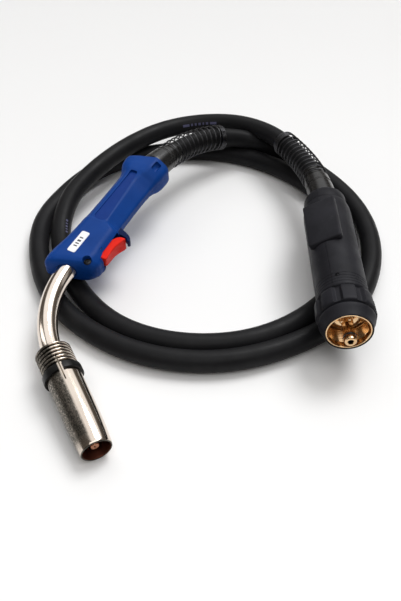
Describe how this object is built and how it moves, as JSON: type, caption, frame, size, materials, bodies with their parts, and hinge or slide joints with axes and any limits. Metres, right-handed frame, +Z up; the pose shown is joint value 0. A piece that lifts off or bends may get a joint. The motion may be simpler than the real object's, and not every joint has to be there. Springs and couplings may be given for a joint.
{
  "type": "mig welding torch",
  "caption": "MIG welding torch lying on its side: bent metal neck with gas nozzle, blue handle with red trigger, and a coiled power cable ending in a screw-on central connector.",
  "frame": {"origin": "on the floor, below the centre of the torch itself (nozzle, neck and handle) without its cable and connector", "axes": "+Z up, +Y roughly along the torch from nozzle to handle, +X to the side where the connector lies"},
  "size_m": [0.354, 0.4633, 0.0748],
  "materials": {
    "blue_plastic": "satin",
    "red_plastic": "satin",
    "black_rubber": "matte",
    "black_plastic": "satin",
    "nickel_plate": "polished",
    "copper": "satin",
    "brass": "polished",
    "steel": "satin",
    "spring_steel": "satin",
    "white_label": "matte",
    "cream_insulator": "matte",
    "dark_switch_plastic": "satin"
  },
  "bodies": {
    "torch": {"cable_coupler": "brass", "cable_ferrule": "copper", "connector_barrel": "brass", "connector_bend_spring": "spring_steel", "connector_block": "brass", "connector_cable_sleeve": "black_rubber", "connector_cover_pad": "black_plastic", "connector_shell_left": "black_plastic", "connector_shell_right": "black_plastic", "connector_shell_screw": "steel", "contact_bush_1": "dark_switch_plastic", "contact_bush_2": "dark_switch_plastic", "contact_pin_spring_1": "spring_steel", "contact_pin_spring_2": "spring_steel", "contact_tip": "copper", "gas_diffuser": "cream_insulator", "gas_pin": "brass", "gas_pin_o_ring": "black_rubber", "handle_bend_spring": "spring_steel", "handle_cable_sleeve": "black_rubber", "handle_screw": "steel", "handle_shell_lower": "blue_plastic", "handle_shell_upper": "blue_plastic", "inner_hose": "black_rubber", "label_plate": "white_label", "neck_inner_tube": "copper", "neck_nut": "brass", "neck_outer_tube": "nickel_plate", "nozzle_insulator": "cream_insulator", "power_cable": "black_rubber", "switch_body": "dark_switch_plastic", "tip_holder": "copper", "trigger_pin": "steel", "trigger_spring": "spring_steel"},
    "trigger": {"trigger": "red_plastic"},
    "switch_plunger": {"switch_plunger": "red_plastic"},
    "nozzle": {"gas_nozzle": "nickel_plate", "nozzle_clip_ring": "black_plastic"},
    "connector_nut": {"connector_nut": "black_plastic", "connector_nut_insert": "brass"},
    "contact_pin_1": {"contact_pin_1": "brass"},
    "contact_pin_2": {"contact_pin_2": "brass"}
  },
  "joints": [
    {"name": "trigger_press", "type": "hinge", "parent": "torch", "child": "trigger", "pos_m": [-0.00235, 0.03701, 0.03763], "axis": [-0.0297, -0.1235, 0.9919], "range_deg": [0, 5], "stiffness_Nm_per_rad": 0.4, "springref_deg": -17.19, "deforming": ["trigger_spring"]},
    {"name": "switch_plunger_press", "type": "slide", "parent": "torch", "child": "switch_plunger", "axis": [-0.8866, 0.4615, 0.031], "range_m": [0, 0.00185]},
    {"name": "nozzle_pull", "type": "slide", "parent": "torch", "child": "nozzle", "axis": [0.4382, -0.8935, -0.0982], "range_m": [0, 0.03]},
    {"name": "connector_nut_spin", "type": "hinge", "parent": "torch", "child": "connector_nut", "pos_m": [0.2129, -0.0683, 0.0463], "axis": [0, 1, 0], "continuous": true},
    {"name": "contact_pin_1_press", "type": "slide", "parent": "torch", "child": "contact_pin_1", "axis": [0, 1, 0], "range_m": [0, 0.003], "stiffness_N_per_m": 300, "springref_m": -0.003, "deforming": ["contact_pin_spring_1"]},
    {"name": "contact_pin_2_press", "type": "slide", "parent": "torch", "child": "contact_pin_2", "axis": [0, 1, 0], "range_m": [0, 0.003], "stiffness_N_per_m": 300, "springref_m": -0.003, "deforming": ["contact_pin_spring_2"]}
  ],
  "couplings": [
    {"joint": "switch_plunger_press", "follows": "trigger_press", "m_per_rad": 0.021}
  ]
}
